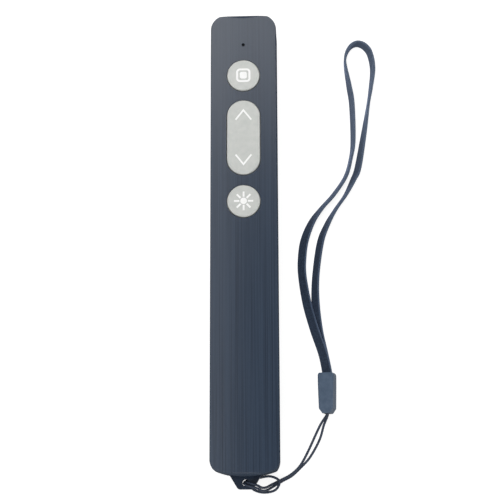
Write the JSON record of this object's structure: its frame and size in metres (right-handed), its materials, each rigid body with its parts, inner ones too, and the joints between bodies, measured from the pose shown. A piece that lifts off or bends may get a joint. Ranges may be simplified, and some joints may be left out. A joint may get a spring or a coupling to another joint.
{
  "type": "wireless presentation clicker",
  "caption": "Slim bar-shaped presentation clicker with round and rocker buttons, laser tip, stowed receiver, battery door and a wrist strap on its tail.",
  "frame": {"origin": "on the surface that the clicker lies on, under the middle of the casing with its lanyard lug", "axes": "+Y towards the laser tip, +Z out through the buttons, +X to the right with the tip away from the viewer"},
  "size_m": [0.0536, 0.1528, 0.0144],
  "materials": {
    "brushed_front": "slate grey lacquer over fine lengthwise brushing",
    "dark_plastic": "fine satin",
    "button_plastic": "light grey satin",
    "black_plastic": "moulded",
    "white_plastic": "moulded",
    "spring_steel": "bright",
    "plated_steel": "nickel plated",
    "black_steel": "blackened",
    "board_laminate": "solder mask",
    "light_lens": "clear moulded",
    "red_window": "deep red, polished",
    "brass_barrel": "turned",
    "lead_red": "insulated wire",
    "lead_black": "insulated wire",
    "cell_jacket": "plain printed sleeve",
    "gold_contacts": "gold flash",
    "lug_plastic": "moulded, dark",
    "bead_plastic": "satin slate",
    "strap_cord": "braided",
    "strap_webbing": "woven tape"
  },
  "bodies": {
    "casing": {"front_shell": "brushed_front", "rear_shell": "dark_plastic", "key_switches": "black_plastic", "switch_covers": "spring_steel", "circuit_board": "board_laminate", "board_chips": "black_plastic", "rocker_pivot": "black_plastic", "status_light": "light_lens", "light_guide": "light_lens", "laser_barrel": "brass_barrel", "laser_lens": "light_lens", "laser_window": "red_window", "laser_leads": "lead_red", "power_switch_base": "spring_steel", "battery_can": "cell_jacket", "battery_nub": "plated_steel", "positive_contact": "plated_steel", "negative_contact": "plated_steel", "contact_spring": "plated_steel", "positive_lead": "lead_red", "negative_lead": "lead_black", "case_screws": "black_steel", "lanyard_lug": "lug_plastic", "strap_bead": "bead_plastic", "strap_string": "strap_cord", "wrist_webbing": "strap_webbing"},
    "blank_key": {"blank_button": "button_plastic", "blank_plunger": "black_plastic"},
    "rocker_key": {"page_rocker": "button_plastic", "rocker_plungers": "black_plastic"},
    "laser_key": {"laser_button": "button_plastic", "laser_plunger": "black_plastic"},
    "power_slider": {"power_knob": "black_plastic", "power_switch_lever": "white_plastic"},
    "door": {"battery_door": "dark_plastic"},
    "receiver": {"receiver_grip": "black_plastic", "receiver_plug": "plated_steel", "receiver_tongue": "white_plastic", "receiver_contacts": "gold_contacts"}
  },
  "joints": [
    {"name": "blank_press", "type": "slide", "parent": "casing", "child": "blank_key", "axis": [0, 0, -1], "range_m": [0, 0.0003], "stiffness_N_per_m": 2000, "springref_m": -0.0002},
    {"name": "rocker_tilt", "type": "hinge", "parent": "casing", "child": "rocker_key", "pos_m": [0, 0.034, 0.0112], "axis": [1, 0, 0], "range_deg": [-1.6, 1.6], "stiffness_Nm_per_rad": 0.3},
    {"name": "laser_press", "type": "slide", "parent": "casing", "child": "laser_key", "axis": [0, 0, -1], "range_m": [0, 0.0003], "stiffness_N_per_m": 2000, "springref_m": -0.0002},
    {"name": "power_slide", "type": "slide", "parent": "casing", "child": "power_slider", "axis": [0, 1, 0], "range_m": [0, 0.002]},
    {"name": "door_swing", "type": "hinge", "parent": "casing", "child": "door", "pos_m": [0, -0.0139, 0.0002], "axis": [1, 0, 0], "range_deg": [0, 75]},
    {"name": "receiver_lift", "type": "slide", "parent": "casing", "child": "receiver", "axis": [0, 0, -1], "range_m": [0, 0.012]}
  ]
}
